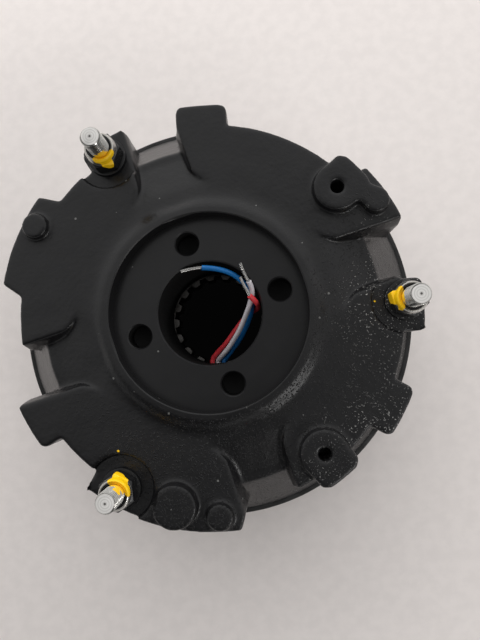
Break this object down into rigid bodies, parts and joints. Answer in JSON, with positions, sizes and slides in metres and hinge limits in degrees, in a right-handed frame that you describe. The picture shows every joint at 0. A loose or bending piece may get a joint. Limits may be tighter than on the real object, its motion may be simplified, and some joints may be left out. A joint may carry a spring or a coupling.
{
  "type": "spring applied brake",
  "caption": "Spring applied electromagnetic disc brake for a motor shaft, with a black cast magnet body, studs with lock nuts, a splined disc and short coil leads.",
  "frame": {"origin": "shaft axis at the mounting face of the friction plate", "axes": "+Z along the shaft axis towards the rear face with the studs, +X through one stud"},
  "size_m": [0.1762, 0.1762, 0.0917],
  "materials": {
    "black_paint": "semi-gloss black paint on a casting",
    "bobbin_plastic": "moulded",
    "copper": "enamelled copper wire",
    "potting": "cast resin",
    "plate_steel": "ground",
    "spring_steel": "drawn wire",
    "zinc": "bright zinc plate",
    "insert_plastic": "moulded",
    "friction_iron": "turned",
    "seal_rubber": "matte",
    "lead_red": "extruded insulation",
    "lead_white": "extruded insulation",
    "lead_blue": "extruded insulation",
    "tinned_copper": "tinned strands",
    "carrier_steel": "machined",
    "lining": "pressed friction lining"
  },
  "bodies": {
    "housing": {"magnet_body": "black_paint", "coil_bobbin": "bobbin_plastic", "accelerator_winding": "copper", "holding_winding": "copper", "coil_potting": "potting", "damping_plate": "plate_steel", "brake_springs": "spring_steel", "counter_springs": "spring_steel", "studs": "zinc", "stud_washers": "black_paint", "lock_nuts": "zinc", "nut_inserts": "insert_plastic", "friction_plate": "friction_iron", "sealing_strip": "seal_rubber", "lead_gland": "seal_rubber", "red_lead": "lead_red", "white_lead": "lead_white", "blue_lead": "lead_blue", "red_lead_end": "tinned_copper", "white_lead_end": "tinned_copper", "blue_lead_end": "tinned_copper"},
    "pressure_plate": {"pressure_plate": "plate_steel"},
    "brake_disc": {"disc_carrier": "carrier_steel", "rear_lining": "lining", "front_lining": "lining"}
  },
  "joints": [
    {"name": "plate_release", "type": "slide", "parent": "housing", "child": "pressure_plate", "axis": [0, 0, 1], "range_m": [0, 0.0004], "stiffness_N_per_m": 10000, "springref_m": -0.002, "deforming": ["brake_springs"]},
    {"name": "disc_turn", "type": "hinge", "parent": "housing", "child": "brake_disc", "pos_m": [0, 0, 0.01755], "axis": [0, 0, 1], "continuous": true}
  ]
}
